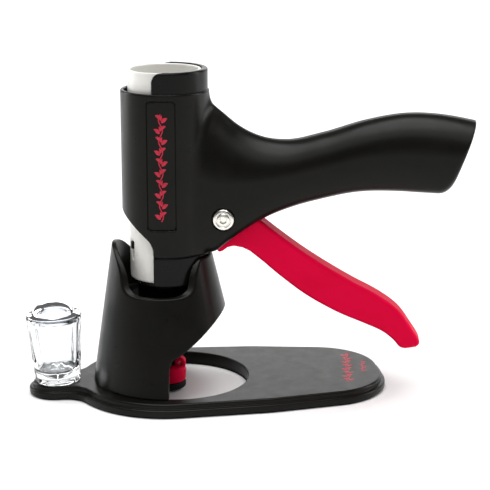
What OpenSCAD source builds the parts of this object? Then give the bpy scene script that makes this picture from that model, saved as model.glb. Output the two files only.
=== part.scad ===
// Trigger barrel tool with a pistol grip, standing in a docking cup on a two-step base.
// Millimetres, +Z up. The origin is on the barrel's axis, on the surface the base stands on.
// The grip runs along +X and the trigger's pivot lies along Y.

/* [Stand] */
// Turn of the base plate under the cup, in degrees
stand_turn = 10; // [0:1:20]
// How far the plate's middle line lies behind the barrel's axis
stand_shift = 1; // [0:0.5:2]
// Full height of the base, mat included
base_h = 6.5; // [6:0.1:8]
// Height of the base's lower step, mat included
step_h = 4; // [3.5:0.1:4.5]
// Width of the ledge that the lower step shows
step_w = 2; // [1:0.5:3]
// Thickness of the rubber mat under the base
mat_h = 0.8; // [0.6:0.1:1]
// Radius of the round work window through the base
window_r = 35.8; // [34:0.1:36]
// Radius of the docking cup's outer cone, at the table
cup_r = 38; // [37.5:0.1:38.5]
// Thickness of the docking cup's wall
cup_wall = 3.4; // [3:0.1:4]
// Height of the seat ring's top, which the tool stands on
seat_z = 47.3; // [47:0.1:48]

/* [Barrel] */
// Outer radius of the barrel that the two shells form
barrel_r = 21; // [20.8:0.1:21.5]
// Top of the barrel
barrel_top = 149.5; // [148:0.5:151]
// Bottom of the barrel
barrel_low = 71.7; // [71.5:0.1:72]
// Top of the inner sleeve and of the liner
sleeve_top = 159.5; // [157:0.5:162]
// Bottom of the inner sleeve
sleeve_low = 57; // [57:0.1:57.5]
// Outer radius of the liner
liner_r = 17.5; // [17.3:0.1:17.6]
// Inner radius of the liner
liner_bore = 16; // [15.9:0.05:16.1]

/* [Grip] */
// Half the width of the grip at its middle
grip_w = 14; // [13:0.5:15]
// Thickness of the grip's shells
grip_wall = 2.2; // [2:0.1:2.6]
// Centre of the trigger's pivot, along the grip
pivot_x = 28.5; // [28.3:0.1:28.8]
// Centre of the trigger's pivot, above the table
pivot_z = 89.2; // [88.9:0.1:89.5]

/* [Trigger] */
// How far the trigger swings, in degrees
swing = 26; // [20:1:26]
// Half the thickness of the trigger
trigger_w = 6.5; // [6:0.1:6.6]
// Length of the drive arm, from the pivot to the roller
arm_len = 20; // [19:0.5:20.5]
// Radius of the drive rollers
roller_r = 3; // [2.5:0.1:3]

/* [Nose] */
// Radius of the nose
nose_r = 8.8; // [8:0.1:9.5]
// Gap under the foot when the tool is docked
foot_gap = 1; // [0.8:0.1:1.5]
// How far the nose can be pushed up
nose_travel = 5; // [4:0.5:5]

/* [Clear cup] */
// Place of the clear cup along the base, from the barrel's axis
cup_x = -54; // [-55:0.5:-53]
// Radius of the clear cup at its rim
glass_r = 13.6; // [13:0.1:14]
// Height of the clear cup
glass_h = 32.9; // [30:0.1:35]
// How far the clear cup leans away from the barrel, in degrees
glass_lean = 2.3; // [1.5:0.1:2.6]

/* [Hidden] */
$fn = 72;
eps = 0.01;
big = 400;
gap = 0.3;          // air between parts that move past each other
fit = 0.05;         // radial clearance of a running fit
thread = 0.02;      // clearance drawn round a thread

// Stand
lobe_r = 45.4;      // round of the base about the cup
waist_x = 42;
waist_r = 43;
toe_x = 75.5;
toe_y = 5.5;
toe_r = 32;
tongue_r = 13;
tongue_in = -30;
web_r = 12;         // hollow curves beside the tongue
ledge_r = 27;       // the base reaches in to here under the cup's closed half
ledge_x = -6;
window_x = 4;
cup_tilt = 2.62;    // the cup's cone leans away from the grip
cup_taper = 0.1935; // cone radius lost per millimetre of height
cup_lean_x = 0.4;
cup_top = 75;
socket_r = 20.9;
ear_r = 20.2;
ear_z = cup_top - ear_r;
notch_z = 53.4;     // lowest point of the front and rear notches
notch_r = 4;
right_ear_top = 70;
arch_r = 38;        // arched opening on the grip's side
arch_z = 4.5;
arch_x = 3.9;
seat_low = seat_z - 2.3;
ledge_z = seat_low - 2;
seat_hole = 10.5;
spigot_r = 14;
cup_screw_r = 30.5;
cup_screw_at = [180, 122, 238];
boss_h = 14;

// Barrel
shell_wall = 1.8;
barrel_in = barrel_r - shell_wall;
sleeve_r = barrel_in - 0.1;
collar_r = 20.45;
sleeve_in = liner_r + 0.1;
cut_x = -4.3;       // the sleeve and the barrel's low end are open beyond this plane
cut_low_z = 78;     // the barrel's slanted cut starts here and rises away from the grip
cut_slope = 40;
corner_r = 5;
liner_low = 58.4;
flange_low = 56.4;  // the plug's flange closes the liner's low end
plug_screw_z = 57.4;
plug_screw_at = [-133, -13, 107];
slot_w = 3.2;       // half width of the slot for the drive arm
slot_low = 82.2;
slot_high = 96.2;
label_w = 18;       // half angle of the label strip
label_low = 85.5;
label_high = 146;
label_deep = 0.7;

// Grip and trigger
pivot = [pivot_x, 0, pivot_z];
cavity = 7;         // half the room between the pivot bosses
hub_r = 6.9;
bush_r = 3.5;
bolt_r = 2.5;
face_y = 13.2;      // flat ground under the pivot screw's head
half_swing = swing / 2;
roller_x = pivot_x - arm_len * cos(half_swing);
roller_z = pivot_z + arm_len * sin(half_swing);
stroke = 2 * arm_len * sin(half_swing);
screw_at = [[38, 106], [62, 109], [92, 118], [122, 119]];

// Piston
piston_low = 82;
piston_high = 101.5;
piston_r = 15.6;

// Nose
foot_z = foot_gap;
foot_h = 3.6;
nose_low = foot_z + foot_h;
nose_h = 8;
nose_top = nose_low + nose_h;
lug_x = 6;          // eye on the nose's upper edge
lug_z = 13.8;
lug_r = 2.7;
rod_r = 3.2;
rod_top = 29;
stem_r = 4.5;
stem_bore = rod_r + fit;
stem_low = lug_z + lug_r + nose_travel + gap;
stem_shelf = 42;

// Grip: top point, bottom point, half width, roundness of the upper and of the lower half, for each station
GRIP = [
    [[12, 149], [12, 71.8], 0.98, 1.6, 6],
    [[20, 144.5], [20, 71.8], 0.98, 1.6, 6],
    [[23.6, 141.6], [24, 72.2], 0.98, 1.6, 6],
    [[27, 138.8], [27.6, 74.7], 0.98, 1.6, 6],
    [[35, 132.3], [36, 81.2], 0.99, 1.7, 5.4],
    [[46, 127], [48, 88.8], 1, 1.8, 4.4],
    [[58, 125.6], [61, 94.2], 1, 2, 3.8],
    [[75, 129.2], [75, 98.2], 1, 2.1, 3.6],
    [[95, 135.4], [91.5, 101.6], 1, 2.1, 3.6],
    [[115, 138.9], [108, 102.2], 1.02, 2.1, 3.6],
    [[131, 138.3], [122, 101.6], 1.04, 2.1, 3.6],
    [[143, 136.3], [131, 101.2], 1.04, 2.1, 3.6],
    [[147.1, 135.6], [136.2, 104.6], 1.04, 2.1, 3.6]
];
// Trigger blade: upper point, lower point
BLADE = [
    [[46, 87.1], [40.5, 72]],
    [[54.5, 80.5], [47, 66.8]],
    [[64.6, 73.1], [56.5, 58.8]],
    [[76.7, 65.2], [68.5, 50]],
    [[89.9, 57.5], [83, 42]],
    [[102.5, 50.8], [96.5, 36.4]],
    [[112.3, 43.5], [104.5, 32.8]],
    [[118.9, 34.4], [110, 28.6]],
    [[122.9, 27.6], [113.2, 25]],
    [[121.2, 24.9], [116, 24.1]]
];

// ---------- curves and lofts ----------
function mix(a, b, t) = a + (b - a) * t;
function spline(p, q, r, s, t) =
    0.5 * ((2 * q) + (r - p) * t + (2 * p - 5 * q + 4 * r - s) * t * t + (3 * q - p - 3 * r + s) * t * t * t);
function station(list, i) = list[max(0, min(len(list) - 1, i))];
function ease(list, k, steps) = [
    for (i = [0 : len(list) - 2], j = [0 : steps - 1])
        spline(station(list, i - 1)[k], station(list, i)[k], station(list, i + 1)[k],
            station(list, i + 2)[k], j / steps),
    list[len(list) - 1][k]
];
function power(v, n) = sign(v) * pow(abs(v), 2 / n);
// One ring of a loft: top and bottom points, half width, roundness above and below, inset
function ring(top, low, w, n_up, n_low, inset, count) =
    let (h = norm(top - low), u = (top - low) / h, t = top - u * inset, b = low + u * inset, m = mix(b, t, 0.5))
    [for (a = [0 : 360 / count : 359.9])
        let (s = sin(a), c = cos(a), n = s > 0 ? n_up : n_low, v = power(s, n), y = power(c, n),
            p = m + (t - b) / 2 * v)
        [p[0], (w - inset) * y, p[1]]];
module loft(rings) {
    count = len(rings[0]);
    last = len(rings) - 1;
    polyhedron(
        points = [for (r = rings) for (p = r) p],
        faces = concat(
            [[for (i = [0 : count - 1]) i]],
            [for (k = [0 : last - 1], i = [0 : count - 1]) [k * count + i, (k + 1) * count + i,
                (k + 1) * count + (i + 1) % count, k * count + (i + 1) % count]],
            [[for (i = [count - 1 : -1 : 0]) last * count + i]]));
}

module tube(r_out, r_in, low, high) {
    translate([0, 0, low])
    difference() {
        cylinder(r = r_out, h = high - low);
        translate([0, 0, -1]) cylinder(r = r_in, h = high - low + 2);
    }
}
module along_y(at, r, from, to) {
    translate([at[0], from, at[1]]) rotate([-90, 0, 0]) cylinder(r = r, h = to - from);
}
// A profile drawn in X and Z, and extruded both ways along Y
module slab(half) {
    translate([0, half, 0]) rotate([90, 0, 0]) linear_extrude(height = 2 * half) children();
}
// A profile drawn in Y and Z, and extruded along X
module side_slab(from, to) {
    translate([from, 0, 0]) rotate([90, 0, 90]) linear_extrude(height = to - from) children();
}

// ---------- stand ----------
module on_stand() {
    rotate([0, 0, stand_turn]) translate([0, stand_shift, 0]) children();
}
module base_outline(grow) {
    offset(r = grow)
    offset(r = -web_r)
    offset(delta = web_r) {
        hull() {
            circle(r = lobe_r, $fn = 96);
            translate([waist_x, 0]) circle(r = waist_r, $fn = 96);
            for (side = [-1, 1]) translate([toe_x, side * toe_y]) circle(r = toe_r, $fn = 96);
        }
        hull() for (x = [cup_x - 1, tongue_in]) translate([x, 0]) circle(r = tongue_r, $fn = 64);
    }
}
module base_window() {
    translate([window_x, 0, -1])
    intersection() {
        cylinder(r = window_r, h = base_h + 2, $fn = 128);
        translate([ledge_x - window_x, -big, -1]) cube([big, 2 * big, big]);
    }
    rotate([0, 0, -stand_turn]) translate([0, -stand_shift, -1]) cylinder(r = ledge_r, h = base_h + 2);
}
module base_plate() {
    color("#1d1c1a")
    difference() {
        on_stand()
        difference() {
            union() {
                translate([0, 0, mat_h]) linear_extrude(height = step_h - mat_h) base_outline(0);
                translate([0, 0, mat_h]) linear_extrude(height = base_h - mat_h) base_outline(-step_w);
            }
            base_window();
        }
        for (a = cup_screw_at) rotate([0, 0, a]) translate([cup_screw_r, 0, 0]) {
            translate([0, 0, -1]) cylinder(r = 1.7, h = base_h + 2);
            translate([0, 0, -1]) cylinder(r = 3.2, h = 1 + mat_h + 2);
        }
    }
}
module base_mat() {
    color("#2b2b2b")
    difference() {
        on_stand()
        difference() {
            linear_extrude(height = mat_h) base_outline(-1.2);
            base_window();
        }
        for (a = cup_screw_at) rotate([0, 0, a]) translate([cup_screw_r, 0, -1]) cylinder(r = 3.4, h = 3);
    }
}
// The cup's cone, leaning, with its wall's inset
module cup_cone(inset) {
    translate([cup_lean_x, 0, 0]) rotate([0, -cup_tilt, 0])
    cylinder(r1 = cup_r - inset, r2 = cup_r - inset - cup_taper * (cup_top + 10), h = cup_top + 10, $fn = 128);
}
// Side view of what stays of the cup: a full skirt, and an ear that ends in a round arch
module ear_profile() {
    difference() {
        union() {
            translate([-60, 0]) square([120, notch_z + notch_r]);
            translate([0, ear_z]) circle(r = ear_r, $fn = 96);
            translate([-ear_r, notch_z]) square([2 * ear_r, ear_z - notch_z]);
        }
        for (side = [-1, 1]) hull() {
            translate([side * (ear_r + notch_r), notch_z + notch_r]) circle(r = notch_r, $fn = 32);
            translate([side * (ear_r + notch_r + 30), notch_z + notch_r]) circle(r = notch_r, $fn = 32);
        }
    }
}
module docking_cup() {
    color("#1b1a18")
    difference() {
        intersection() {
            union() {
                difference() {
                    cup_cone(0);
                    cup_cone(cup_wall);
                    translate([0, 0, seat_low]) cylinder(r = socket_r, h = big);
                }
                intersection() {
                    cup_cone(cup_wall / 2);
                    union() {
                        tube(big / 4, seat_hole, ledge_z, seat_low);
                        tube(big / 4, socket_r, seat_low - 1, seat_z);
                    }
                }
                intersection() {
                    cup_cone(cup_wall / 2);
                    for (a = cup_screw_at) rotate([0, 0, a])
                        translate([cup_screw_r, 0, base_h]) cylinder(r = 3.6, h = boss_h);
                }
            }
            translate([0, 0, base_h]) cylinder(r = big / 4, h = cup_top);
            side_slab(-60, 60) ear_profile();
        }
        translate([0, -big / 2, right_ear_top]) cube([big, big, big]);
        side_slab(arch_x, big / 2)
        intersection() {
            translate([0, arch_z]) circle(r = arch_r, $fn = 128);
            translate([-60, base_h - 1]) square([120, 60]);
        }
        for (a = cup_screw_at) rotate([0, 0, a]) translate([cup_screw_r, 0, 0]) cylinder(r = 1.5 + thread, h = 16);
    }
}
module cup_screws() {
    color("silver")
    for (a = cup_screw_at) rotate([0, 0, a]) translate([cup_screw_r, 0, 0]) {
        translate([0, 0, mat_h + 0.1]) cylinder(r = 2.9, h = 1.9);
        translate([0, 0, mat_h + 0.1]) cylinder(r = 1.5, h = 14);
    }
}
module seat_ring() {
    color("#262524") tube(socket_r - fit, seat_hole, seat_low, seat_z);
}

// ---------- barrel ----------
// What the slanted cut takes from the barrel's low end
module barrel_cut() {
    slab(60)
    polygon([[cut_x, barrel_low - 20], [cut_x, cut_low_z - corner_r / 2],
        [cut_x - 0.6, cut_low_z - 0.4], [cut_x - 2, cut_low_z + 1.4],
        [-60, cut_low_z + 1.4 + (60 + cut_x - 2) * tan(cut_slope)], [-60, barrel_low - 20]]);
}
module arm_slot() {
    translate([8, -slot_w, slot_low]) cube([barrel_r - 8 + 1, 2 * slot_w, slot_high - slot_low]);
}
module inner_sleeve() {
    color("#191917")
    difference() {
        union() {
            tube(sleeve_r, sleeve_in, barrel_low - 0.2, barrel_top + 0.5);
            tube(collar_r, sleeve_in, barrel_top + 0.1, sleeve_top);
            tube(collar_r, sleeve_in, sleeve_low, barrel_low - 0.1);
        }
        slab(60) polygon([[cut_x, 0], [cut_x, sleeve_top - corner_r], [cut_x + 0.35 * corner_r, sleeve_top - 0.4 * corner_r],
            [cut_x + corner_r, sleeve_top + eps], [cut_x + corner_r, sleeve_top + 1], [-60, sleeve_top + 1], [-60, 0]]);
        arm_slot();
    }
}
module liner_tube() {
    color("#f2f1ea")
    difference() {
        tube(liner_r, liner_bore, liner_low, sleeve_top - 0.4);
        arm_slot();
        rotate([0, 0, 209]) translate([liner_bore - 2, -1.2, 68]) cube([6, 2.4, 9]);
    }
}
module liner_catch() {
    color("#141414")
    rotate([0, 0, 209]) intersection() {
        tube(liner_r + 0.5, liner_bore + 0.1, 73.4, 76.9);
        translate([10, -1.1, 70]) cube([10, 2.2, 10]);
    }
}
module end_plug() {
    color("#20201e")
    difference() {
        union() {
            translate([0, 0, liner_low]) cylinder(r = liner_bore - fit, h = 5);
            translate([0, 0, flange_low]) cylinder(r = liner_r - 0.1, h = liner_low - flange_low);
            translate([0, 0, seat_z + 0.1]) cylinder(r = spigot_r, h = flange_low - seat_z + 0.4);
        }
        translate([0, 0, seat_low - 1]) cylinder(r = stem_r + thread, h = 20);
        for (a = plug_screw_at) rotate([0, 0, a]) translate([8, 0, plug_screw_z]) rotate([0, 90, 0])
            cylinder(r = 0.7 + thread, h = 20);
    }
}
module plug_screws() {
    color("silver")
    for (a = plug_screw_at) rotate([0, 0, a]) translate([9, 0, plug_screw_z]) rotate([0, 90, 0])
        cylinder(r = 0.7, h = liner_r - 9 - 0.2);
}
module label_ring(r_out, r_in, spread, low, high) {
    intersection() {
        tube(r_out, r_in, low, high);
        rotate([0, 0, -90]) linear_extrude(height = big)
            polygon([[0, 0], [40, -40 * tan(spread)], [40, 40 * tan(spread)]]);
    }
}
module label_strip() {
    color("#1c1c1b") label_ring(barrel_r - 0.15, barrel_r - label_deep + 0.05, label_w, label_low, label_high);
}

// ---------- grip ----------
module grip_body(inset, steps, count) {
    tops = ease(GRIP, 0, steps);
    lows = ease(GRIP, 1, steps);
    wide = ease(GRIP, 2, steps);
    ups = ease(GRIP, 3, steps);
    downs = ease(GRIP, 4, steps);
    loft([for (i = [0 : len(tops) - 1])
        ring(tops[i], lows[i], grip_w * wide[i], ups[i] + (inset > 0 ? 0.4 : 0), downs[i], inset, count)]);
}
module shell_half(side) {
    difference() {
        intersection() {
            union() {
                difference() {
                    union() {
                        translate([0, 0, barrel_low]) cylinder(r = barrel_r, h = barrel_top - barrel_low);
                        difference() {
                            grip_body(0, 3, 32);
                            translate([0, 0, 60]) cylinder(r = barrel_in + 0.5, h = 100);
                        }
                    }
                    difference() {
                        intersection() {
                            grip_body(grip_wall, 2, 20);
                            translate([0, -big / 2, 0]) cube([140, big, big]);
                        }
                        translate([0, 0, 60]) cylinder(r = barrel_r, h = 100);
                    }
                }
                for (p = screw_at) along_y(p, 3.6, side > 0 ? 0.05 : -12.2, side > 0 ? 12.2 : -0.05);
                along_y([pivot_x, pivot_z], 6.4, side > 0 ? cavity : -12.6, side > 0 ? 12.6 : -cavity);
            }
            translate([-big / 2, side > 0 ? 0.05 : -big / 2 - 0.05, 0]) cube([big, big / 2, big]);
        }
        translate([0, 0, 60]) cylinder(r = barrel_in, h = 100);
        barrel_cut();
        arm_slot();
        // mouth of the grip, where the trigger swings
        slab(cavity + 0.2) polygon([[barrel_r + 0.2, 60], [barrel_r + 0.2, 82], [34, 97.5], [66, 97.5], [66, 60]]);
        along_y([pivot_x, pivot_z], bolt_r + thread, -20, 20);
        if (side < 0) along_y([pivot_x, pivot_z], 5.4, -20, -face_y);
        if (side > 0) translate([pivot_x, 10, pivot_z]) rotate([-90, 30, 0]) cylinder(r = 4.7, h = 10, $fn = 6);
        for (p = screw_at) along_y(p, 1.5 + thread, side > 0 ? -1 : -10, 20);
        if (side > 0) for (p = screw_at) along_y(p, 3, 10.6, 20);
        if (side < 0) label_ring(barrel_r + 1, barrel_r - label_deep, label_w + 0.9, label_low - 0.4, label_high + 0.4);
    }
}
module front_shell() {
    color("#1a1a18") shell_half(-1);
}
module rear_shell() {
    color("#1a1a18") shell_half(1);
}
module shell_screws() {
    color("silver")
    for (p = screw_at) {
        along_y(p, 1.5, -9, 12);
        along_y(p, 2.8, 10.65, 12.1);
    }
}
module pivot_screw() {
    color("#d8d6cf")
    difference() {
        union() {
            along_y([pivot_x, pivot_z], bolt_r, -face_y - 1, 13);
            along_y([pivot_x, pivot_z], 5.1, -face_y - 1.2, -face_y - 0.05);
            translate([pivot_x, -face_y - 1.2, pivot_z]) rotate([90, 0, 0]) cylinder(r1 = 5.1, r2 = 3.4, h = 1);
        }
        along_y([pivot_x, pivot_z], 1.6, -20, -face_y - 0.6);
    }
}
module pivot_nut() {
    color("#c9c7c0")
    difference() {
        translate([pivot_x, 10.05, pivot_z]) rotate([-90, 30, 0]) cylinder(r = 4.6, h = 2.8, $fn = 6);
        along_y([pivot_x, pivot_z], bolt_r + thread, 0, 20);
    }
}
module pivot_bush() {
    color("#b08d4a")
    difference() {
        along_y([pivot_x, pivot_z], bush_r, -cavity + 0.05, cavity - 0.05);
        along_y([pivot_x, pivot_z], bolt_r + thread, -20, 20);
    }
}

// ---------- trigger ----------
module trigger_plate() {
    slab(trigger_w)
    union() {
        translate([pivot_x, pivot_z]) circle(r = hub_r);
        polygon([[21.8, 87.4], [23.6, 76], [24.4, 72.6], [25.8, 71.2], [27.6, 71.7], [30, 73.6], [33, 74.3],
            [37, 73.6], [40.6, 71.9], [47.4, 66.9], [54.6, 80.3], [46.2, 86.9], [39, 92.6], [31.4, 95.4]]);
    }
}
module trigger() {
    color("#d3063c")
    difference() {
        union() {
            trigger_plate();
            tops = ease(BLADE, 0, 3);
            lows = ease(BLADE, 1, 3);
            loft([for (i = [0 : len(tops) - 1]) ring(tops[i], lows[i], trigger_w, 5, 5, 0, 24)]);
            // drive arm
            slab(2.4) translate([pivot_x, pivot_z]) rotate(180 - half_swing)
                polygon([[0, -3.4], [arm_len - 5, -2.3], [arm_len + 1.2, -2], [arm_len + 2, 0],
                    [arm_len + 1.2, 2], [arm_len - 5, 2.3], [0, 3.4]]);
        }
        along_y([pivot_x, pivot_z], bush_r + fit, -20, 20);
        along_y([roller_x, roller_z], 1.2 + thread, -20, 20);
    }
}
module roller_pin() {
    color("#bdbdbd") along_y([roller_x, roller_z], 1.2, -6, 6);
}
module drive_rollers() {
    color("#d9d9d4")
    for (from = [-5.6, 2.6]) difference() {
        along_y([roller_x, roller_z], roller_r, from, from + 3);
        along_y([roller_x, roller_z], 1.2 + thread, -20, 20);
    }
}
module trigger_spring() {
    color("#aeb0b2") {
        for (y = [7.5, 8.4])
            translate([pivot_x, y, pivot_z]) rotate([90, 0, 0]) rotate_extrude() translate([7.1, 0]) circle(r = 0.4, $fn = 24);
        along_y([pivot_x + 7.1, pivot_z], 0.4, 7.5, 8.4);
        translate([pivot_x + 7.1, 8.4, pivot_z]) cylinder(r = 0.4, h = 10.6, $fn = 24);
    }
}

// ---------- piston ----------
module piston() {
    color("#e4e2da")
    difference() {
        translate([0, 0, piston_low]) cylinder(r = piston_r, h = piston_high - piston_low);
        translate([roller_x - roller_r - 0.8, -6.6, roller_z - roller_r - 0.25])
            cube([40, 13.2, 2 * roller_r + 0.5]);
        translate([12, -slot_w, roller_z - 6.4]) cube([40, 2 * slot_w, 12.8]);
        translate([0, 0, piston_low + 2.4]) tube(piston_r + 1, piston_r - 1.2, 0, 1.8);
        translate([0, 0, piston_low - 1]) cylinder(r = 9, h = 5);
    }
}
module piston_ring() {
    color("#2a2a2a") tube(piston_r + 0.3, piston_r - 1.15, piston_low + 2.5, piston_low + 4.1);
}

// ---------- nose ----------
module nose_stem() {
    color("#20201e")
    difference() {
        translate([0, 0, stem_low]) cylinder(r = stem_r, h = liner_low - stem_low);
        translate([0, 0, stem_low - 1]) cylinder(r = stem_bore, h = stem_shelf - stem_low + 1);
        translate([0, 0, stem_shelf - 1]) cylinder(r = 1.6, h = 60);
    }
}
module nose_tip() {
    color("#d3063c")
    difference() {
        union() {
            translate([0, 0, nose_low]) cylinder(r = nose_r, h = nose_h - 1);
            translate([0, 0, nose_top - 1]) cylinder(r1 = nose_r, r2 = nose_r - 1, h = 1);
            slab(2.6) hull() {
                translate([lug_x, lug_z]) circle(r = lug_r, $fn = 48);
                translate([lug_x, nose_top - 3]) circle(r = lug_r, $fn = 48);
            }
        }
        translate([0, 0, nose_low + 1.5]) cylinder(r = rod_r + thread, h = 40);
        along_y([nose_r + 0.7, nose_top - 1.5], 1.2, -20, 20);
        along_y([lug_x, lug_z], 1, -20, 20);
    }
}
module nose_rod() {
    color("#2a2a29") translate([0, 0, nose_low + 1.55]) cylinder(r = rod_r, h = rod_top - nose_low - 1.55);
}
module nose_foot() {
    color("#1a1a1a")
    translate([0, 0, foot_z])
    rotate_extrude() polygon([[0, 0], [nose_r - 1.2, 0], [nose_r - 0.4, 0.4], [nose_r, 1.2], [nose_r, foot_h - 0.6],
        [nose_r - 0.5, foot_h], [0, foot_h]]);
}
module nose_spring() {
    color("#aeb0b2")
    for (k = [0 : 6]) translate([0, 0, rod_top + 0.5 + k * 1.9]) rotate_extrude()
        translate([stem_bore - 0.6, 0]) circle(r = 0.35, $fn = 24);
}

// ---------- clear cup ----------
module on_tongue() {
    on_stand() translate([cup_x, 0, base_h + 0.02]) rotate([0, -glass_lean, 0]) children();
}
module clear_cup() {
    color([0.9, 0.95, 0.97, 0.4])
    difference() {
        on_tongue()
        difference() {
            translate([0, 0, -1]) cylinder(r1 = 11 - (glass_r - 11) / glass_h, r2 = glass_r, h = glass_h + 1);
            translate([0, 0, 6]) cylinder(r1 = 9.4, r2 = glass_r - 1.3, h = glass_h - 6 + eps);
        }
        translate([-big / 2, -big / 2, base_h + 0.02 - big]) cube([big, big, big]);
    }
}
module dome_lid() {
    color([0.85, 0.9, 0.97, 0.4])
    on_tongue() translate([0, 0, glass_h]) {
        rim = glass_r - 1.5;
        rotate_extrude() polygon(concat([[0, -2.4]],
            [[rim - 0.5, -2.4], [rim - 0.2, 0.05], [rim + 1, 0.05], [rim + 1, 0.9], [rim - 1.2, 1.7]],
            [for (a = [8 : 8 : 88]) [(rim - 2) * cos(a), 1.4 + 5.6 * sin(a)]], [[0, 7]]));
    }
}

base_plate();
base_mat();
docking_cup();
cup_screws();
seat_ring();
front_shell();
rear_shell();
inner_sleeve();
liner_tube();
liner_catch();
end_plug();
plug_screws();
label_strip();
shell_screws();
pivot_screw();
pivot_nut();
pivot_bush();
nose_stem();
trigger();
roller_pin();
drive_rollers();
trigger_spring();
piston();
piston_ring();
nose_tip();
nose_rod();
nose_foot();
nose_spring();
clear_cup();
dome_lid();
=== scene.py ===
import math

import bpy
import numpy as np
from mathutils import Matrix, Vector


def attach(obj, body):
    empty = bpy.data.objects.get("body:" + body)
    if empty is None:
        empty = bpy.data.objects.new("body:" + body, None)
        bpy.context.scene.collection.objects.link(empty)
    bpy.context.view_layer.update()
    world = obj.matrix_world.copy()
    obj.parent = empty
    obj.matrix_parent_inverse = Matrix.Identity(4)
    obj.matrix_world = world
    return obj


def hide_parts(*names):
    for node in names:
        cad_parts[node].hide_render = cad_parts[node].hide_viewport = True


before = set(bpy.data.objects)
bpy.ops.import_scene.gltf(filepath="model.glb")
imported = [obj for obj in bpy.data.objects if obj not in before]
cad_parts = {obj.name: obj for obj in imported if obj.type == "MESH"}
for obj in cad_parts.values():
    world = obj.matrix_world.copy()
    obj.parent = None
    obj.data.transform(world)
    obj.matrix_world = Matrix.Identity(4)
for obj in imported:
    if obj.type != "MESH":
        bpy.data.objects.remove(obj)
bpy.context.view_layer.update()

MM = 0.001
TURN = math.radians(10)      # the base is turned under the cup
LEAN = math.radians(-2.62)   # the docking cup's cone leans away from the grip
PIVOT = (28.5, 89.2)         # trigger pivot, x and z
BARREL_R = 21.0
BARREL_IN = 19.2
BARREL_LOW, BARREL_TOP = 71.7, 149.5
COLLAR_R = 20.45
LINER_R, LINER_BORE = 17.5, 16.0
SOCKET_R, SEAT_HOLE = 20.9, 10.5
LEDGE_LOW, LEDGE_Z, SEAT_Z = 43.0, 45.0, 47.3
EAR_R, EAR_Z, NOTCH_Z = 20.2, 54.8, 53.4
SLOT_W, SLOT_LOW, SLOT_HIGH = 3.2, 82.2, 96.2
CUT_X = -4.3                 # the sleeve and the low end are open beyond this


# ---------------------------------------------------------------- materials
def new_material(name):
    mat = bpy.data.materials.new(name)
    mat.use_nodes = True
    tree = mat.node_tree
    shader = tree.nodes["Principled BSDF"]
    return mat, tree, shader


def node(tree, kind, **values):
    made = tree.nodes.new(kind)
    for key, value in values.items():
        if key in made.inputs:
            made.inputs[key].default_value = value
        else:
            setattr(made, key, value)
    return made


def place(tree, stretch=(1, 1, 1)):
    coord = node(tree, "ShaderNodeTexCoord")
    turn = node(tree, "ShaderNodeMapping")
    turn.inputs["Scale"].default_value = stretch
    tree.links.new(coord.outputs["Object"], turn.inputs["Vector"])
    return turn.outputs["Vector"]


def noise(tree, where, scale, detail=3.0, rough=0.55):
    made = node(tree, "ShaderNodeTexNoise")
    made.inputs["Scale"].default_value = scale
    made.inputs["Detail"].default_value = detail
    made.inputs["Roughness"].default_value = rough
    tree.links.new(where, made.inputs["Vector"])
    return made.outputs["Fac"]


def spread(tree, value, low, high, start=0.3, end=0.7):
    made = node(tree, "ShaderNodeMapRange")
    made.inputs["From Min"].default_value = start
    made.inputs["From Max"].default_value = end
    made.inputs["To Min"].default_value = low
    made.inputs["To Max"].default_value = high
    tree.links.new(value, made.inputs["Value"])
    return made.outputs["Result"]


def tint(tree, value, low, high, start=0.3, end=0.7):
    made = node(tree, "ShaderNodeValToRGB")
    made.color_ramp.elements[0].position = start
    made.color_ramp.elements[0].color = (*low, 1)
    made.color_ramp.elements[1].position = end
    made.color_ramp.elements[1].color = (*high, 1)
    tree.links.new(value, made.inputs["Fac"])
    return made.outputs["Color"]


def bump(tree, shader, height, strength, distance):
    made = node(tree, "ShaderNodeBump")
    made.inputs["Strength"].default_value = strength
    made.inputs["Distance"].default_value = distance
    tree.links.new(height, made.inputs["Height"])
    tree.links.new(made.outputs["Normal"], shader.inputs["Normal"])


def moulded(name, dark, light, rough, grain=0.00002, grain_scale=2200.0, specular=0.5, stretch=(1, 1, 1)):
    """Moulded plastic or rubber: fine eroded grain, slow colour drift and uneven gloss."""
    mat, tree, shader = new_material(name)
    where = place(tree, stretch)
    slow = noise(tree, where, 38.0, 4.0)
    fine = noise(tree, where, grain_scale, 2.0)
    smear = noise(tree, where, 160.0, 5.0, 0.65)
    tree.links.new(tint(tree, slow, dark, light), shader.inputs["Base Color"])
    tree.links.new(spread(tree, smear, rough[0], rough[1]), shader.inputs["Roughness"])
    bump(tree, shader, fine, 0.35, grain)
    shader.inputs["Specular IOR Level"].default_value = specular
    return mat


def metal(name, dark, light, rough, stretch=(1, 1, 30), scale=260.0):
    mat, tree, shader = new_material(name)
    where = place(tree, stretch)
    lines = noise(tree, where, scale, 4.0, 0.6)
    slow = noise(tree, place(tree), 120.0, 3.0)
    tree.links.new(tint(tree, slow, dark, light), shader.inputs["Base Color"])
    tree.links.new(spread(tree, lines, rough[0], rough[1]), shader.inputs["Roughness"])
    bump(tree, shader, lines, 0.25, 0.00001)
    shader.inputs["Metallic"].default_value = 1.0
    return mat


def clear(name, low, high, bend):
    mat, tree, shader = new_material(name)
    where = place(tree)
    slow = noise(tree, where, 90.0, 2.0)
    tree.links.new(tint(tree, slow, low, high), shader.inputs["Base Color"])
    tree.links.new(spread(tree, noise(tree, where, 300.0, 3.0), 0.015, 0.05), shader.inputs["Roughness"])
    bump(tree, shader, noise(tree, where, 60.0, 1.0), 0.15, 0.0002)
    shader.inputs["Transmission Weight"].default_value = 1.0
    shader.inputs["IOR"].default_value = bend
    return mat


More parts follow.
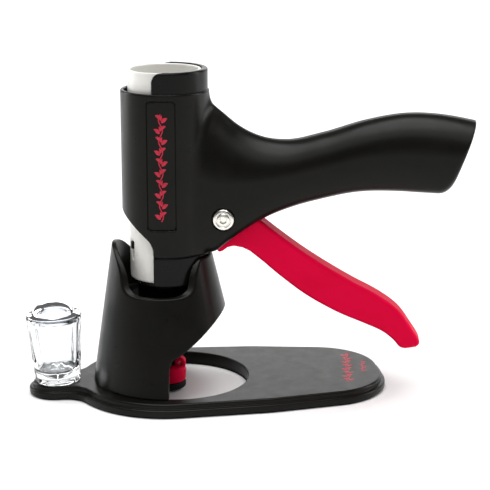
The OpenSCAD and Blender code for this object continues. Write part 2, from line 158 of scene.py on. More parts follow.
BLACK = moulded("black_satin", (0.0034, 0.0032, 0.0024), (0.0056, 0.0052, 0.0040),
                (0.27, 0.36), 0.000012, 2200.0, 0.15)
SLEEVE = moulded("black_sleeve", (0.0034, 0.0034, 0.0031), (0.0055, 0.0053, 0.0048), (0.26, 0.34),
                  0.000005, 2200.0, 0.14)
RUBBER = moulded("black_rubber", (0.005, 0.005, 0.005), (0.009, 0.009, 0.0085), (0.6, 0.8), 0.00005, 1100.0, 0.2)
WHITE = moulded("liner_white", (0.80, 0.79, 0.74), (0.88, 0.87, 0.83), (0.24, 0.36), 0.00001)
NYLON = moulded("nylon_white", (0.66, 0.65, 0.60), (0.74, 0.73, 0.69), (0.4, 0.5))
CRIMSON = moulded("crimson_plastic", (0.69, 0.0, 0.036), (0.76, 0.0, 0.046), (0.42, 0.55), 0.00002, 2200.0, 0.05)
MOTIF = moulded("crimson_ink", (0.42, 0.002, 0.025), (0.55, 0.004, 0.035), (0.4, 0.5), 0.00001)
STEEL = metal("bright_steel", (0.74, 0.72, 0.66), (0.86, 0.84, 0.79), (0.16, 0.30))
WIRE = metal("drawn_wire", (0.50, 0.50, 0.51), (0.62, 0.62, 0.63), (0.25, 0.4))
BRASS = metal("turned_brass", (0.62, 0.47, 0.22), (0.72, 0.56, 0.29), (0.2, 0.35))
CLEAR = clear("clear_plastic", (0.93, 0.95, 0.96), (0.98, 0.99, 1.0), 1.36)
CLEAR_LID = clear("clear_lid", (0.86, 0.89, 0.97), (0.95, 0.97, 1.0), 1.22)


# ---------------------------------------------------------------- mesh making
def add(name, verts, faces, mat, body, nodes=(), normals=None):
    """Makes a smooth mesh from millimetre points, with area-weighted normals unless they are given."""
    verts = np.asarray(verts, float)
    faces = np.asarray(faces, int)
    mesh = bpy.data.meshes.new(name)
    mesh.from_pydata((verts * MM).tolist(), [], faces.tolist())
    mesh.materials.append(mat)
    mesh.shade_smooth()
    if normals is None:
        a, b, c, d = (verts[faces[:, i]] for i in range(4))
        across = np.cross(c - a, d - b)
        normals = np.zeros_like(verts)
        for i in range(4):
            np.add.at(normals, faces[:, i], across)
    normals = normals / np.maximum(np.linalg.norm(normals, axis=1, keepdims=True), 1e-12)
    mesh.normals_split_custom_set_from_vertices(normals.tolist())
    made = bpy.data.objects.new(name, mesh)
    bpy.context.scene.collection.objects.link(made)
    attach(made, body)
    if nodes:
        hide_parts(*nodes)
    return made


def skin(name, solid, low, high, step, mat, body, nodes=()):
    """The surface of a solid given as a distance function, negative inside, as a net of quads."""
    low = np.asarray(low, float) - 1.5 * step
    axes = [np.arange(low[i], high[i] + 2.5 * step, step) for i in range(3)]
    size = [len(a) for a in axes]
    value = np.array(np.broadcast_to(solid(*np.ix_(*axes)), size))
    inside = value < 0
    corners = [(i, j, k) for i in (0, 1) for j in (0, 1) for k in (0, 1)]
    full = sum(inside[i:size[0] - 1 + i, j:size[1] - 1 + j, k:size[2] - 1 + k].astype(np.int8)
               for i, j, k in corners)
    live = (full > 0) & (full < 8)
    number = np.full(live.shape, -1)
    number[live] = np.arange(int(live.sum()))
    at = np.argwhere(live)
    held = [value[at[:, 0] + i, at[:, 1] + j, at[:, 2] + k] for i, j, k in corners]
    total = np.zeros((len(at), 3))
    count = np.zeros(len(at))
    for a in range(8):
        for b in range(a + 1, 8):
            ca, cb = np.array(corners[a]), np.array(corners[b])
            if abs(ca - cb).sum() != 1:
                continue
            cross = (held[a] < 0) != (held[b] < 0)
            t = np.where(cross, held[a] / np.where(cross, held[a] - held[b], 1), 0)
            total += cross[:, None] * (ca + t[:, None] * (cb - ca))
            count += cross
    points = low + (at + total / count[:, None]) * step
    faces = []
    for axis in range(3):
        b, c = (axis + 1) % 3, (axis + 2) % 3
        first = np.take(inside, range(size[axis] - 1), axis)
        second = np.take(inside, range(1, size[axis]), axis)
        edge = np.argwhere(first != second)
        edge = edge[(edge[:, b] > 0) & (edge[:, c] > 0) & (edge[:, b] < size[b] - 1) & (edge[:, c] < size[c] - 1)]
        out = first[edge[:, 0], edge[:, 1], edge[:, 2]]
        quad = []
        for db, dc in ((-1, -1), (0, -1), (0, 0), (-1, 0)):
            cell = edge.copy()
            cell[:, b] += db
            cell[:, c] += dc
            quad.append(number[cell[:, 0], cell[:, 1], cell[:, 2]])
        quad = np.stack(quad, 1)
        faces.append(np.where(out[:, None], quad, quad[:, ::-1]))
    faces = np.concatenate(faces)

    def slope(p):
        e = 0.03
        grad = np.empty_like(p)
        for i in range(3):
            d = np.zeros(3)
            d[i] = e
            grad[:, i] = (solid(*(p + d).T) - solid(*(p - d).T)) / (2 * e)
        return grad

    for _ in range(3):
        grad = slope(points)
        move = solid(*points.T)[:, None] * grad / (np.sum(grad ** 2, 1, keepdims=True) + 1e-4)
        far = np.linalg.norm(move, axis=1, keepdims=True)
        points -= move * np.minimum(1, 0.5 * step / np.maximum(far, 1e-9))
    return add(name, points, faces, mat, body, nodes, slope(points))


def lathe(name, profile, mat, body, nodes=(), count=128, put=None, shape=None):
    """A closed profile of (radius, height) turned about a vertical axis, and then put in its place."""
    profile = np.asarray(profile, float)
    angle = np.linspace(0, 2 * math.pi, count, endpoint=False)
    r = profile[:, 0][:, None] * np.ones(count)
    z = profile[:, 1][:, None] * np.ones(count)
    if shape is not None:
        r = shape(r, z, angle[None, :])
    verts = np.stack([r * np.cos(angle), r * np.sin(angle), z], -1).reshape(-1, 3)
    if put is not None:
        verts = put(verts)
    return add(name, verts, loop_faces(len(profile), count), mat, body, nodes)


def loop_faces(rows, count):
    """Quads of a closed band: rows of points, each a ring, the last row joined to the first."""
    i, j = np.meshgrid(np.arange(rows), np.arange(count), indexing="ij")
    k, m = (i + 1) % rows, (j + 1) % count
    return np.stack([i * count + j, i * count + m, k * count + m, k * count + j], -1).reshape(-1, 4)


def soften(profile, radius=0.4, steps=4):
    """Rounds each corner of a closed profile."""
    p = np.asarray(profile, float)
    out = []
    for i in range(len(p)):
        a, b, c = p[i - 1], p[i], p[(i + 1) % len(p)]
        la, lc = np.linalg.norm(a - b), np.linalg.norm(c - b)
        cut = min(radius, 0.42 * la, 0.42 * lc)
        first, last = b + (a - b) / la * cut, b + (c - b) / lc * cut
        for s in range(steps + 1):
            t = s / steps
            out.append((1 - t) ** 2 * first + 2 * t * (1 - t) * b + t * t * last)
    return out


# ---------------------------------------------------------------- distance functions
def smax(a, b, k):
    h = np.maximum(k - np.abs(a - b), 0) / k
    return np.maximum(a, b) + h * h * k * 0.25


def smin(a, b, k):
    return -smax(-a, -b, k)


def minus(a, b, k=0.6):
    return smax(a, -b, k)


def both(*parts, k=0.6):
    out = parts[0]
    for part in parts[1:]:
        out = smax(out, part, k)
    return out


def within(v, low, high):
    return np.maximum(low - v, v - high)


def smooth_curve(points):
    """A smooth function through points of rising x."""
    x, z = np.array(points, float).T
    m = np.gradient(z, x)

    def at(v):
        v = np.clip(v, x[0], x[-1])
        i = np.clip(np.searchsorted(x, v) - 1, 0, len(x) - 2)
        h = x[i + 1] - x[i]
        t = (v - x[i]) / h
        return ((2 * t ** 3 - 3 * t ** 2 + 1) * z[i] + (t ** 3 - 2 * t ** 2 + t) * h * m[i]
                + (3 * t ** 2 - 2 * t ** 3) * z[i + 1] + (t ** 3 - t ** 2) * h * m[i + 1])
    return at


def outline_distance(loop):
    """Signed distance to a closed outline in a plane, negative inside."""
    a = np.asarray(loop, float)
    b = np.roll(a, -1, 0)

    def at(u, v):
        u, v = np.broadcast_arrays(u, v)
        flat = np.stack([u.ravel(), v.ravel()], -1)
        out = np.empty(len(flat))
        for s in range(0, len(flat), 40000):
            p = flat[s:s + 40000, None, :]
            e, w = b - a, p - a
            t = np.clip((w * e).sum(-1) / (e * e).sum(-1), 0, 1)
            near = np.sqrt((((w - t[..., None] * e)) ** 2).sum(-1).min(1))
            up = (a[:, 1] <= p[..., 1]) & (b[:, 1] > p[..., 1])
            down = (a[:, 1] > p[..., 1]) & (b[:, 1] <= p[..., 1])
            side = e[:, 0] * w[..., 1] - e[:, 1] * w[..., 0]
            wind = (up & (side > 0)).sum(1) - (down & (side < 0)).sum(1)
            out[s:s + 40000] = np.where(wind != 0, -near, near)
        return out.reshape(u.shape)
    return at


def through(points, steps=6):
    """A smooth line through points in a plane."""
    p = np.array(points, float)
    p = np.vstack([p[0], p, p[-1]])
    out = []
    for i in range(1, len(p) - 2):
        for s in range(steps):
            t = s / steps
            out.append(0.5 * (2 * p[i] + (p[i + 1] - p[i - 1]) * t
                              + (2 * p[i - 1] - 5 * p[i] + 4 * p[i + 1] - p[i + 2]) * t * t
                              + (3 * p[i] - p[i - 1] - 3 * p[i + 1] + p[i + 2]) * t ** 3))
    out.append(p[-2])
    return out


# ---------------------------------------------------------------- base
def base_outline():
    """Points and outward normals of the base's edge, in the base's own frame."""
    web = (-math.sqrt(57.4 ** 2 - 25 ** 2), 25.0)
    t1 = math.degrees(math.atan2(5.5, 33.5) + math.acos(11 / math.hypot(33.5, 5.5)))
    t2 = math.degrees(math.acos(2.4 / 42))
    t3 = math.degrees(math.atan2(web[1], web[0]))
    arcs = [((75.5, 5.5), 32, 0, t1), ((42, 0), 43, t1, t2), ((0, 0), 45.4, t2, t3),
            (web, -12, t3, 90), ((-55, 0), 13, 90, 180)]
    half = []
    for centre, r, start, end in arcs:
        for a in np.radians(np.linspace(start, end, max(3, int(abs(end - start) / 1.6) + 1))):
            n = np.array([math.cos(a), math.sin(a)])
            half.append((np.array(centre) + r * n, n))
    flip = np.array([1, -1])
    whole = half + [(p * flip, n * flip) for p, n in half[::-1]]
    points = np.array([p for p, n in whole])
    normals = np.array([n for p, n in whole])
    keep = np.linalg.norm(points - np.roll(points, 1, 0), axis=1) > 1e-3
    points, normals = points[keep], normals[keep]
    out = []
    for i in range(len(points)):
        j = (i + 1) % len(points)
        count = max(1, int(np.linalg.norm(points[j] - points[i]) / 1.5))
        for k in range(count):
            t = k / count
            normal = (1 - t) * normals[i] + t * normals[j]
            normal /= np.linalg.norm(normal)
            out.append(((1 - t) * points[i] + t * points[j] - 0.01 * normal, normal))
    return np.array([p for p, n in out]), np.array([n for p, n in out])


def on_stand(p):
    c, s = math.cos(TURN), math.sin(TURN)
    y = p[..., 1] + 1.0
    return np.stack([c * p[..., 0] - s * y, s * p[..., 0] + c * y, p[..., 2]], -1)


def make_base():
    edge, normal = base_outline()
    centre = np.array([4.0, 0.0])
    ray = edge - centre
    ray /= np.linalg.norm(ray, axis=1, keepdims=True)
    to_line = np.where(ray[:, 0] < -1e-6, -10 / np.minimum(ray[:, 0], -1e-6), 1e9)
    hub = centre - np.array([0.0, -1.0])
    along = (ray * hub).sum(1)
    to_ring = -along + np.sqrt(along ** 2 - (hub ** 2).sum() + 27 ** 2)
    reach = np.maximum(np.minimum(35.8, to_line), to_ring)
    outer = [(-0.5, 0.8), (-0.15, 0.9), (0, 1.2), (0, 3.2), (-0.08, 3.55), (-0.3, 3.83), (-0.7, 3.98), (-1.0, 4.0),
             (-1.6, 4.0), (-1.85, 4.05), (-2.0, 4.3), (-2.0, 5.5), (-2.1, 6.0), (-2.45, 6.38), (-2.9, 6.5),
             (-3.4, 6.5)]
    inner = [(0.9, 6.5), (0.5, 6.48), (0.15, 6.3), (0, 6.0), (0, 1.2), (0.3, 0.8)]
    rows = [np.column_stack([edge + d * normal, np.full(len(edge), z)]) for d, z in outer]
    rows += [np.column_stack([centre + ray * (reach + d)[:, None], np.full(len(edge), z)]) for d, z in inner]
    verts = on_stand(np.array(rows)).reshape(-1, 3)
    add("base_plate_body", verts, loop_faces(len(rows), len(edge)), BLACK, "stand", ["base_plate"])


make_base()


# ---------------------------------------------------------------- docking cup
def cup_cone(x, y, z, inset):
    c, s = math.cos(LEAN), math.sin(LEAN)
    u = (x - 0.4) * c - z * s
    w = (x - 0.4) * s + z * c
    return (np.hypot(u, y) - (38 - inset - 0.1935 * w)) * 0.982


def docking_cup(x, y, z):
    r = np.hypot(x, y)
    upper = np.maximum(np.minimum(cup_cone(x, y, z, 2.4), r - SOCKET_R), LEDGE_Z - z)
    hollow = np.minimum(cup_cone(x, y, z, 3.4), upper)
    wall = minus(cup_cone(x, y, z, 0), hollow, 0.7)
    ledge = np.minimum(np.maximum(SEAT_HOLE - r, within(z, LEDGE_LOW, LEDGE_Z)),
                       np.maximum(SOCKET_R - r, within(z, LEDGE_Z - 1, SEAT_Z)))
    wall = smin(wall, np.maximum(cup_cone(x, y, z, 1.7), ledge), 0.6)
    for a in (180, 122, 238):
        post = np.hypot(x - 30.5 * math.cos(math.radians(a)), y - 30.5 * math.sin(math.radians(a))) - 3.6
        wall = smin(wall, both(post, z - 20.5, cup_cone(x, y, z, 1.7)), 1.0)
    v = np.abs(y)
    ear = np.where(z > EAR_Z, np.hypot(v, z - EAR_Z), v) - EAR_R
    wall = smax(wall, smin(ear, z - NOTCH_Z, 8.0), 0.6)
    wall = smax(wall, np.minimum(x, z - 70), 0.9)
    wall = minus(wall, smax(3.9 - x, np.hypot(y, z - 4.5) - 38, 3.0), 0.9)
    return smax(wall, 6.5 - z, 0.7)


skin("docking_cup_body", docking_cup, (-38, -38, 6.5), (38, 38, 75.1), 0.6, BLACK, "stand",
     ["docking_cup"])
lathe("seat_ring_body", soften([(10.55, 45.03), (20.8, 45.03), (20.8, 47.27), (10.55, 47.27)], 0.4), RUBBER, "stand",
      ["seat_ring"])

# ---------------------------------------------------------------- grip and barrel
TOP = smooth_curve([(8, 151), (12, 149), (20, 144.5), (27, 138.8), (35, 132.3), (46, 127), (58, 125.6), (75, 129.15),
                    (95, 135.3), (115, 138.8), (131, 138.2), (143, 136.2), (150, 134.7)])
LOW = smooth_curve([(8, 71.8), (20, 71.8), (22, 71.85), (24, 72.25), (25.6, 73.1), (27.6, 74.8), (36, 81.2),
                    (48, 88.8), (61, 94.2), (75, 98.2), (91.5, 101.6), (108, 102.2), (122, 101.6), (131, 101.2),
                    (150, 100.8)])
WIDE = smooth_curve([(8, 13.7), (36, 13.9), (60, 14), (95, 14), (131, 14.5), (150, 14.5)])
SHARP = smooth_curve([(8, 1.6), (27, 1.65), (46, 1.85), (62, 2.05), (95, 2.1), (150, 2.1)])
BLUNT = smooth_curve([(8, 6), (28, 6), (36, 5.4), (47, 4.4), (60, 3.8), (75, 3.6), (150, 3.6)])
SCREWS = ((38, 106), (62, 109), (92, 118), (122, 119))


def grip(x, y, z):
    top, low, wide = TOP(x), LOW(x), WIDE(x)
    middle = 0.5 * (top + low)
    half = 0.5 * (top - low)
    v = (z - middle) / half
    n = np.where(v > 0, SHARP(x), BLUNT(x))
    size = (np.abs(v) ** n + np.abs(y / wide) ** n + 1e-9) ** (1 / n)
    body = (size - 1) * np.minimum(half, wide) * 0.95
    round_end = np.clip(5.5 - (z - 104) * 0.2, 0.7, 5.5)
    return smax(body, (x - 146.7) * 0.943 - (z - 134.6) * 0.333, round_end)


def shell(side):
    def solid(x, y, z):
        r = np.hypot(x, y)
        ends = within(z, BARREL_LOW, BARREL_TOP)
        handle = smax(grip(x, y, z), 8 - x, 0.5)
        outer = smin(smax(r - BARREL_R, ends, 0.9), handle, 2.6)
        room = np.maximum(np.maximum(grip(x, y, z) + 2.2, 20.9 - r), 14 - x)
        out = minus(outer, room, 0.5)
        for u, w in SCREWS:
            out = smin(out, both(np.hypot(x - u, z - w) - 3.6, np.abs(y) - 12.2), 0.8)
        boss = both(np.hypot(x - PIVOT[0], z - PIVOT[1]) - 6.4, within(np.abs(y), 7, 12.8))
        out = smin(out, boss, 0.8)
        out = minus(out, r - BARREL_IN, 0.7)
        slant = (z - (79.4 + (-6.3 - x) * 0.839)) * 0.766
        out = minus(out, smax(x - CUT_X, slant, 3.2), 0.8)
        mouth = both(21.2 - x, x - 66, z - 97.5, (z - 82) * 0.637 - (x - 21.2) * 0.771, np.abs(y) - 7.2, k=0.8)
        out = minus(out, mouth, 0.7)
        out = minus(out, np.maximum(np.maximum(8 - x, np.abs(y) - SLOT_W), within(z, SLOT_LOW, SLOT_HIGH)), 0.4)
        pin = np.hypot(x - PIVOT[0], z - PIVOT[1])
        if side < 0:
            out = minus(out, np.maximum(pin - 5.4, y + 13.2), 0.5)
            turn = np.arctan2(x, -y)
            u, w = np.abs(turn) * 21 - 5.4, np.abs(z - 115.75) - 29.2
            pocket = np.hypot(np.maximum(u, 0), np.maximum(w, 0)) + np.minimum(np.maximum(u, w), 0) - 1.5
            out = minus(out, np.maximum(pocket, 20.3 - r), 0.35)
            return smax(out, y + 0.05, 0.6)
        u, w = np.abs(x - PIVOT[0]), np.abs(z - PIVOT[1])
        out = minus(out, np.maximum(np.maximum(u, 0.5 * u + 0.866 * w) - 4.1, 10 - y), 0.4)
        for u, w in SCREWS:
            out = minus(out, np.maximum(np.hypot(x - u, z - w) - 3, 10.6 - y), 0.5)
        return smax(out, 0.05 - y, 0.6)
    return solid


skin("front_shell_body", shell(-1), (-21, -21, 71.7), (147.5, -0.05, 149.5), 0.6, BLACK, "tool",
     ["front_shell"])
skin("rear_shell_body", shell(1), (-21, 0.05, 71.7), (147.5, 21, 149.5), 0.6, BLACK, "tool",
     ["rear_shell"])


def inner_sleeve(x, y, z):
    r = np.hypot(x, y)
    outside = np.where((z > 149.55) | (z < 71.65), r - COLLAR_R, r - 19.1)
    band = both(outside, within(z, 57, 159.5), k=1.2)
    band = minus(band, r - 17.6, 0.6)
    groove = np.hypot(np.maximum(np.abs(z - 71.65) - 0.2, 0), r - COLLAR_R) - 0.25
    band = minus(band, groove, 0.2)
    corner = np.hypot(np.maximum(-x + 0.7, 0), np.maximum(z - 154.5, 0)) - 5
    keep = np.where((x < 0.7) & (z > 154.5), corner, -4.3 - x)
    return smax(band, keep, 0.7)


skin("inner_sleeve_body", inner_sleeve, (-5, -20.5, 57), (20.5, 20.5, 159.5), 0.55, SLEEVE, "tool",
     ["inner_sleeve"])


def liner(x, y, z):
    r = np.hypot(x, y)
    tube = both(r - LINER_R, LINER_BORE - r, within(z, 58.4, 159.1), k=0.7)
    a = math.radians(209)
    u = x * math.cos(a) + y * math.sin(a)
    w = -x * math.sin(a) + y * math.cos(a)
    tube = minus(tube, both(np.abs(w) - 1.2, within(z, 68, 77), 10 - u), 0.4)
    return minus(tube, np.maximum(np.maximum(8 - x, np.abs(y) - SLOT_W), within(z, SLOT_LOW, SLOT_HIGH)), 0.3)


skin("liner_tube_body", liner, (-17.5, -17.5, 58.4), (17.5, 17.5, 159.1), 0.5, WHITE, "tool",
     ["liner_tube"])
lathe("end_plug_body", soften([(4.6, 47.4), (14, 47.4), (14, 56.4), (17.2, 56.4), (17.2, 58.4), (15.9, 58.4),
                               (15.9, 63.4), (4.6, 63.4)], 0.4), SLEEVE, "tool", ["end_plug"])


# ---------------------------------------------------------------- label
def label(x, y, z):
    r = np.hypot(x, y)
    u, w = np.abs(np.arctan2(x, -y)) * 21 - 5.1, np.abs(z - 115.75) - 28.8
    flat = np.hypot(np.maximum(u, 0), np.maximum(w, 0)) + np.minimum(np.maximum(u, w), 0) - 1.4
    return smax(flat, within(r, 20.35, 20.85), 0.35)


skin("label_strip_body", label, (-7, -21, 85), (7, -19.4, 146), 0.3, BLACK, "tool", ["label_strip"])


# ---------------------------------------------------------------- trigger
BLADE_TOP = [(46, 87.1), (54.5, 80.5), (64.6, 73.1), (76.7, 65.2), (89.9, 57.5), (102.5, 50.8), (112.3, 43.5),
             (118.9, 34.4), (122.9, 27.6), (121.2, 24.9)]
BLADE_LOW = [(40.5, 72), (47, 66.8), (56.5, 58.8), (68.5, 50), (83, 42), (96.5, 36.4), (104.5, 32.8),
             (110, 28.6), (113.2, 25), (116, 24.1)]
ROOT = [(40.5, 72), (37, 73.6), (33, 74.3), (30, 73.6), (27.6, 71.7), (25.8, 71.2), (24.4, 72.6), (23.6, 76),
        (21.8, 87.4), (31.4, 95.4), (39, 92.6), (46, 87.1)]
blade = outline_distance(through(BLADE_TOP) + through(BLADE_LOW[::-1]) + ROOT[1:-1])


def trigger(x, y, z):
    flat = smin(blade(x, z), np.hypot(x - PIVOT[0], z - PIVOT[1]) - 6.9, 1.0)
    r = 1.9
    u, w = flat + r, np.abs(y) - 6.5 + r
    body = np.minimum(np.maximum(u, w), 0) + np.hypot(np.maximum(u, 0), np.maximum(w, 0)) - r
    a = math.radians(167)
    s = (x - PIVOT[0]) * math.cos(a) + (z - PIVOT[1]) * math.sin(a)
    t = -(x - PIVOT[0]) * math.sin(a) + (z - PIVOT[1]) * math.cos(a)
    arm = both(np.abs(t) - 3.2 + s * 0.06, within(s, 0, 22), np.abs(y) - 2.4)
    body = smin(body, arm, 0.8)
    return minus(body, np.hypot(x - PIVOT[0], z - PIVOT[1]) - 3.55, 0.3)


skin("trigger_body", trigger, (6.5, -6.5, 23.9), (123.2, 6.5, 96.2), 0.6, CRIMSON, "trigger", ["trigger"])


# ---------------------------------------------------------------- nose
def nose_tip(x, y, z):
    r = np.hypot(x, y)
    body = both(r - 8.8, within(z, 4.6, 12.6), k=1.6)
    lug = smax(np.hypot(x - 6, np.maximum(np.abs(z - 11.7) - 2.1, 0)) - 2.7, np.abs(y) - 2.6, 0.8)
    body = smin(body, lug, 0.8)
    body = minus(body, np.maximum(r - 3.24, 6.1 - z), 0.3)
    body = minus(body, np.maximum(np.hypot(x - 9.5, z - 11.1) - 1.2, 6 - x), 0.5)
    return minus(body, np.hypot(x - 6, z - 13.8) - 1, 0.3)


skin("nose_tip_body", nose_tip, (-8.8, -8.8, 4.6), (8.8, 8.8, 16.5), 0.3, CRIMSON, "nose", ["nose_tip"])
lathe("nose_foot_body", soften([(0.4, 1.0), (7.6, 1.0), (8.4, 1.4), (8.8, 2.2), (8.8, 4.0), (8.3, 4.55), (0.4, 4.55)],
                               0.35), RUBBER, "nose", ["nose_foot"])


# ---------------------------------------------------------------- pivot screw
def pivot_screw(x, y, z):
    r = np.hypot(x - PIVOT[0], z - PIVOT[1])
    shaft = both(r - 2.5, within(y, -13.6, 13.0))
    ball = np.sqrt(r ** 2 + (y + 0.2) ** 2) - 15.2
    head = both(r - 5.1, y + 13.25, ball, k=0.7)
    ring = np.hypot(r - 3.3, y + 15.0) - 0.35
    head = minus(head, ring, 0.25)
    u, w = np.abs(x - PIVOT[0]), np.abs(z - PIVOT[1])
    socket = np.maximum(np.maximum(u, 0.5 * u + 0.866 * w) - 1.5, y + 13.8)
    return smin(minus(head, socket, 0.25), shaft, 0.3)


skin("pivot_screw_body", pivot_screw, (23.3, -15.4, 84), (33.7, 13, 94.4), 0.26, STEEL, "tool",
     ["pivot_screw"])


# ---------------------------------------------------------------- clear cup and lid
def on_tongue(p):
    c, w = math.cos(math.radians(2.3)), math.sin(math.radians(2.3))
    x = p[..., 0] * c - p[..., 2] * w - 54
    z = np.maximum(p[..., 0] * w + p[..., 2] * c, 0) + 6.52
    return on_stand(np.stack([x, p[..., 1], z], -1))


def flutes(r, z, a):
    up = np.clip((z - 10.5) / 1.2, 0, 1) * np.clip((31 - z) / 1.0, 0, 1)
    up = up * up * (3 - 2 * up)
    return r - 0.5 * up * (0.5 - 0.5 * np.cos(16 * a)) * (r > 10.4 + z * 0.079)


wall = [(10.3, -0.3), (10.8, 0.15), (11.0, 0.6), (11.1, 2.2), (10.7, 2.7), (10.7, 3.3), (11.25, 3.8), (11.4, 5.6),
        (11.1, 6.0), (11.1, 6.5), (11.5, 6.9)]
for h in np.arange(8, 32.1, 1.0):
    wall.append((11 + 2.6 * h / 32.9 - 0.03, h))
wall += [(13.58, 32.5), (13.4, 32.85), (13.0, 32.9), (12.5, 32.85), (12.3, 32.5)]
wall += [(9.4 + (h - 6) * 0.107, h) for h in (31, 26, 21, 16, 12, 9, 7.4)]
wall += [(9.2, 6.6), (8.6, 6.15), (7.6, 6.0), (0.3, 6.0), (0.3, 1.0), (7.0, 0.9), (8.4, 0.3), (9.2, -0.3)]
lathe("clear_cup_body", wall, CLEAR, "cup", ["clear_cup"], 216, on_tongue, flutes)
TL = 32.9
dome = [(0.3, TL + 7.0)] + [(10.1 * math.sin(a), TL + 1.4 + 5.6 * math.cos(a))
         for a in np.radians(np.arange(10, 88, 6))]
dome += [(10.2, TL + 1.55), (11.0, TL + 1.3), (12.2, TL + 0.95), (12.8, TL + 0.8), (13.05, TL + 0.6),
         (13.05, TL + 0.3), (12.7, TL + 0.06), (11.9, TL + 0.05), (11.6, TL - 2.3), (10.8, TL - 2.3), (10.5, TL + 0.2)]
dome += [(9.2 * math.sin(a), TL + 0.9 + 4.9 * math.cos(a)) for a in np.radians(np.arange(84, 5, -6))]
dome += [(0.3, TL + 5.85)]
lathe("dome_lid_body", dome, CLEAR_LID, "lid", ["dome_lid"], 128, on_tongue)


# ---------------------------------------------------------------- crimson sprigs on the label and on the base
def stroke(points, widths):
    """A flat stroke through points in a plane, as rows of (u, v, height) rings."""
    p = np.array(points, float)
    along = np.gradient(p, axis=0)
    along /= np.linalg.norm(along, axis=1, keepdims=True)
    side = np.stack([-along[:, 1], along[:, 0]], -1)
    rows = []
    for q, n, w in zip(p, side, widths):
        rows.append([(*(q + t * w * n), h) for t, h in ((-1, 0.02), (-0.6, 0.08), (0, 0.1), (0.6, 0.08), (1, 0.02),
                                                         (0.6, 0), (0, 0), (-0.6, 0))])
    return np.array(rows)


def leaf(at, angle, length, width, bend=0.15):
    t = np.linspace(0, 1, 13)
    a = math.radians(angle)
    ahead, side = np.array([math.cos(a), math.sin(a)]), np.array([-math.sin(a), math.cos(a)])
    line = np.array(at) + length * (t[:, None] * ahead + bend * (4 * t * (1 - t))[:, None] * side)
    return stroke(line, 0.5 * width * np.sin(math.pi * t ** 0.8) ** 0.85 + 0.02)


def sprig(name, strokes, put, body):
    verts, faces, start = [], [], 0
    for rows in strokes:
        count = len(rows)
        flat = put(rows.reshape(-1, 3))
        i, j = np.meshgrid(np.arange(count - 1), np.arange(8), indexing="ij")
        k = (j + 1) % 8
        quads = np.stack([i * 8 + j, i * 8 + k, (i + 1) * 8 + k, (i + 1) * 8 + j], -1).reshape(-1, 4)
        ends = [[0, 7, 6, 5], [0, 5, 4, 1], [1, 4, 3, 2]]
        last = (count - 1) * 8
        caps = ends + [[last + v for v in e[::-1]] for e in ends]
        verts.append(flat)
        faces.append(np.vstack([quads, caps]) + start)
        start += len(flat)
    add(name, np.vstack(verts), np.vstack(faces), MOTIF, body)


def on_label(p):
    turn = p[:, 0] / 21
    r = 20.84 + p[:, 2]
    return np.stack([r * np.sin(turn), -r * np.cos(turn), p[:, 1]], -1)


def vine(low, high, wide=1.0):
    """A wavy stem with three leaves to each half wave, between two heights."""
    count = max(3, round((high - low) / (5.3 * wide)))
    pitch = (high - low) / count
    rise = np.linspace(low, high, 9 * count)
    out = [stroke(np.stack([0.9 * wide * np.sin((rise - low) * math.pi / pitch), rise], -1),
                  np.full(len(rise), 0.28 * wide))]
    for i in range(count):
        side = 1 if i % 2 else -1
        v = low + pitch * (i + 0.3)
        for u, step, angle, length, width, bend in (
                (0.5, -0.11, -52, 3.5, 1.9, 0.12), (-0.2, 0.3, 58, 2.7, 1.5, -0.12),
                (0.2, 0.11, -10, 2.6, 1.3, 0.1)):
            at = (u * side * wide, min(v + step * pitch, high - 1.5 * wide))
            out.append(leaf(at, 90 + angle * side, length * wide, width * wide, bend * side))
    return out


sprig("label_vine", vine(89.6, 140.6), on_label, "tool")


def on_base_top(x):
    return lambda p: on_stand(np.stack([x - p[:, 0] + 0.153 * (p[:, 1] - 2), p[:, 1], 6.49 + 0.6 * p[:, 2]], -1))


sprig("base_vine", vine(-21, 22), on_base_top(90.4), "stand")
sprig("base_vine_small", vine(-7, 9, 0.6), on_base_top(98.4), "stand")

# ---------------------------------------------------------------- finishes on the CAD pieces that stay
FINISH = {"base_mat": RUBBER, "cup_screws": STEEL, "liner_catch": SLEEVE, "plug_screws": STEEL,
          "shell_screws": STEEL, "pivot_nut": STEEL, "pivot_bush": BRASS, "nose_stem": SLEEVE, "roller_pin": STEEL,
          "nose_rod": SLEEVE,
          "drive_rollers": NYLON, "trigger_spring": WIRE, "piston": NYLON, "piston_ring": RUBBER,
          "nose_spring": WIRE}
for name, mat in FINISH.items():
    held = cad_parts[name]
    held.data.materials.clear()
    held.data.materials.append(mat)


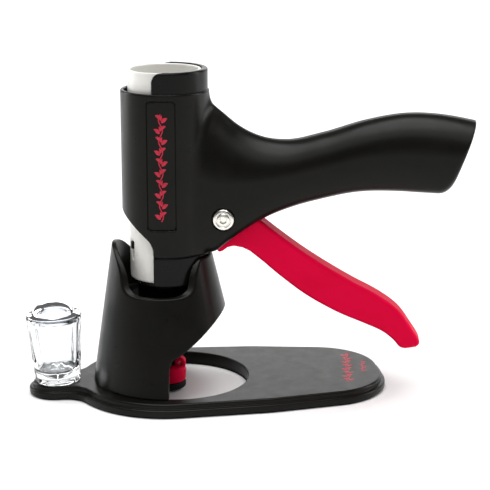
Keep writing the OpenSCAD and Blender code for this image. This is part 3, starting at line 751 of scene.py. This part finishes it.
# ---------------------------------------------------------------- stage, lights, camera
floor_mat, floor_tree, floor_shader = new_material("floor_pale")
floor_tone = noise(floor_tree, place(floor_tree), 3.0, 2.0)
floor_tree.links.new(tint(floor_tree, floor_tone, (0.90, 0.90, 0.90), (0.92, 0.92, 0.92)),
                     floor_shader.inputs["Base Color"])
floor_shader.inputs["Roughness"].default_value = 0.9
floor_shader.inputs["Specular IOR Level"].default_value = 0.1
mesh = bpy.data.meshes.new("floor")
mesh.from_pydata([(-9, -9, -0.0001), (9, -9, -0.0001), (9, 9, -0.0001), (-9, 9, -0.0001)], [], [(0, 1, 2, 3)])
mesh.materials.append(floor_mat)
floor = bpy.data.objects.new("floor", mesh)
bpy.context.scene.collection.objects.link(floor)

scene = bpy.context.scene
scene.view_settings.view_transform = "Standard"
scene.view_settings.look = "None"
world = bpy.data.worlds.new("studio")
scene.world = world
world.use_nodes = True
world.node_tree.nodes["Background"].inputs["Color"].default_value = (1.0, 1.0, 1.0, 1)
world.node_tree.nodes["Background"].inputs["Strength"].default_value = 0.12


def light(name, kind, power, at, to, size=None, size_y=None, angle=None):
    data = bpy.data.lights.new(name, kind)
    data.energy = power
    if kind == "AREA":
        data.shape = "RECTANGLE"
        data.size = size
        data.size_y = size_y
    if angle is not None:
        data.angle = math.radians(angle)
    made = bpy.data.objects.new(name, data)
    made.location = at
    away = np.array(to, float) - np.array(at, float)
    made.rotation_euler = Vector(away).to_track_quat("-Z", "Y").to_euler()
    scene.collection.objects.link(made)
    return made


light("sky", "SUN", 2.75, (0, 0, 3), (0.1, 0.15, 0), angle=50)
light("back_panel", "AREA", 16.0, (0.2, 2.4, 0.75), (0, 0, 0.1), 3.0, 0.8)
light("left_strip", "AREA", 6.0, (-1.0, 0.45, 0.45), (0, 0, 0.1), 0.35, 1.0)
light("right_strip", "AREA", 6.0, (1.15, 0.25, 0.5), (0.02, 0, 0.1), 0.35, 1.0)
light("top_box", "AREA", 6.0, (0.1, -0.9, 1.3), (0.05, 0, 0.1), 1.2, 0.8)

camera_data = bpy.data.cameras.new("camera")
camera_data.lens = 117.55
camera_data.sensor_width = 36
camera_data.clip_start = 0.05
camera_data.clip_end = 30
camera = bpy.data.objects.new("camera", camera_data)
camera.location = (0.0772, -0.747, 0.267)
camera.rotation_euler = (math.radians(90 - 14.5), 0, math.radians(3))
scene.collection.objects.link(camera)
scene.camera = camera
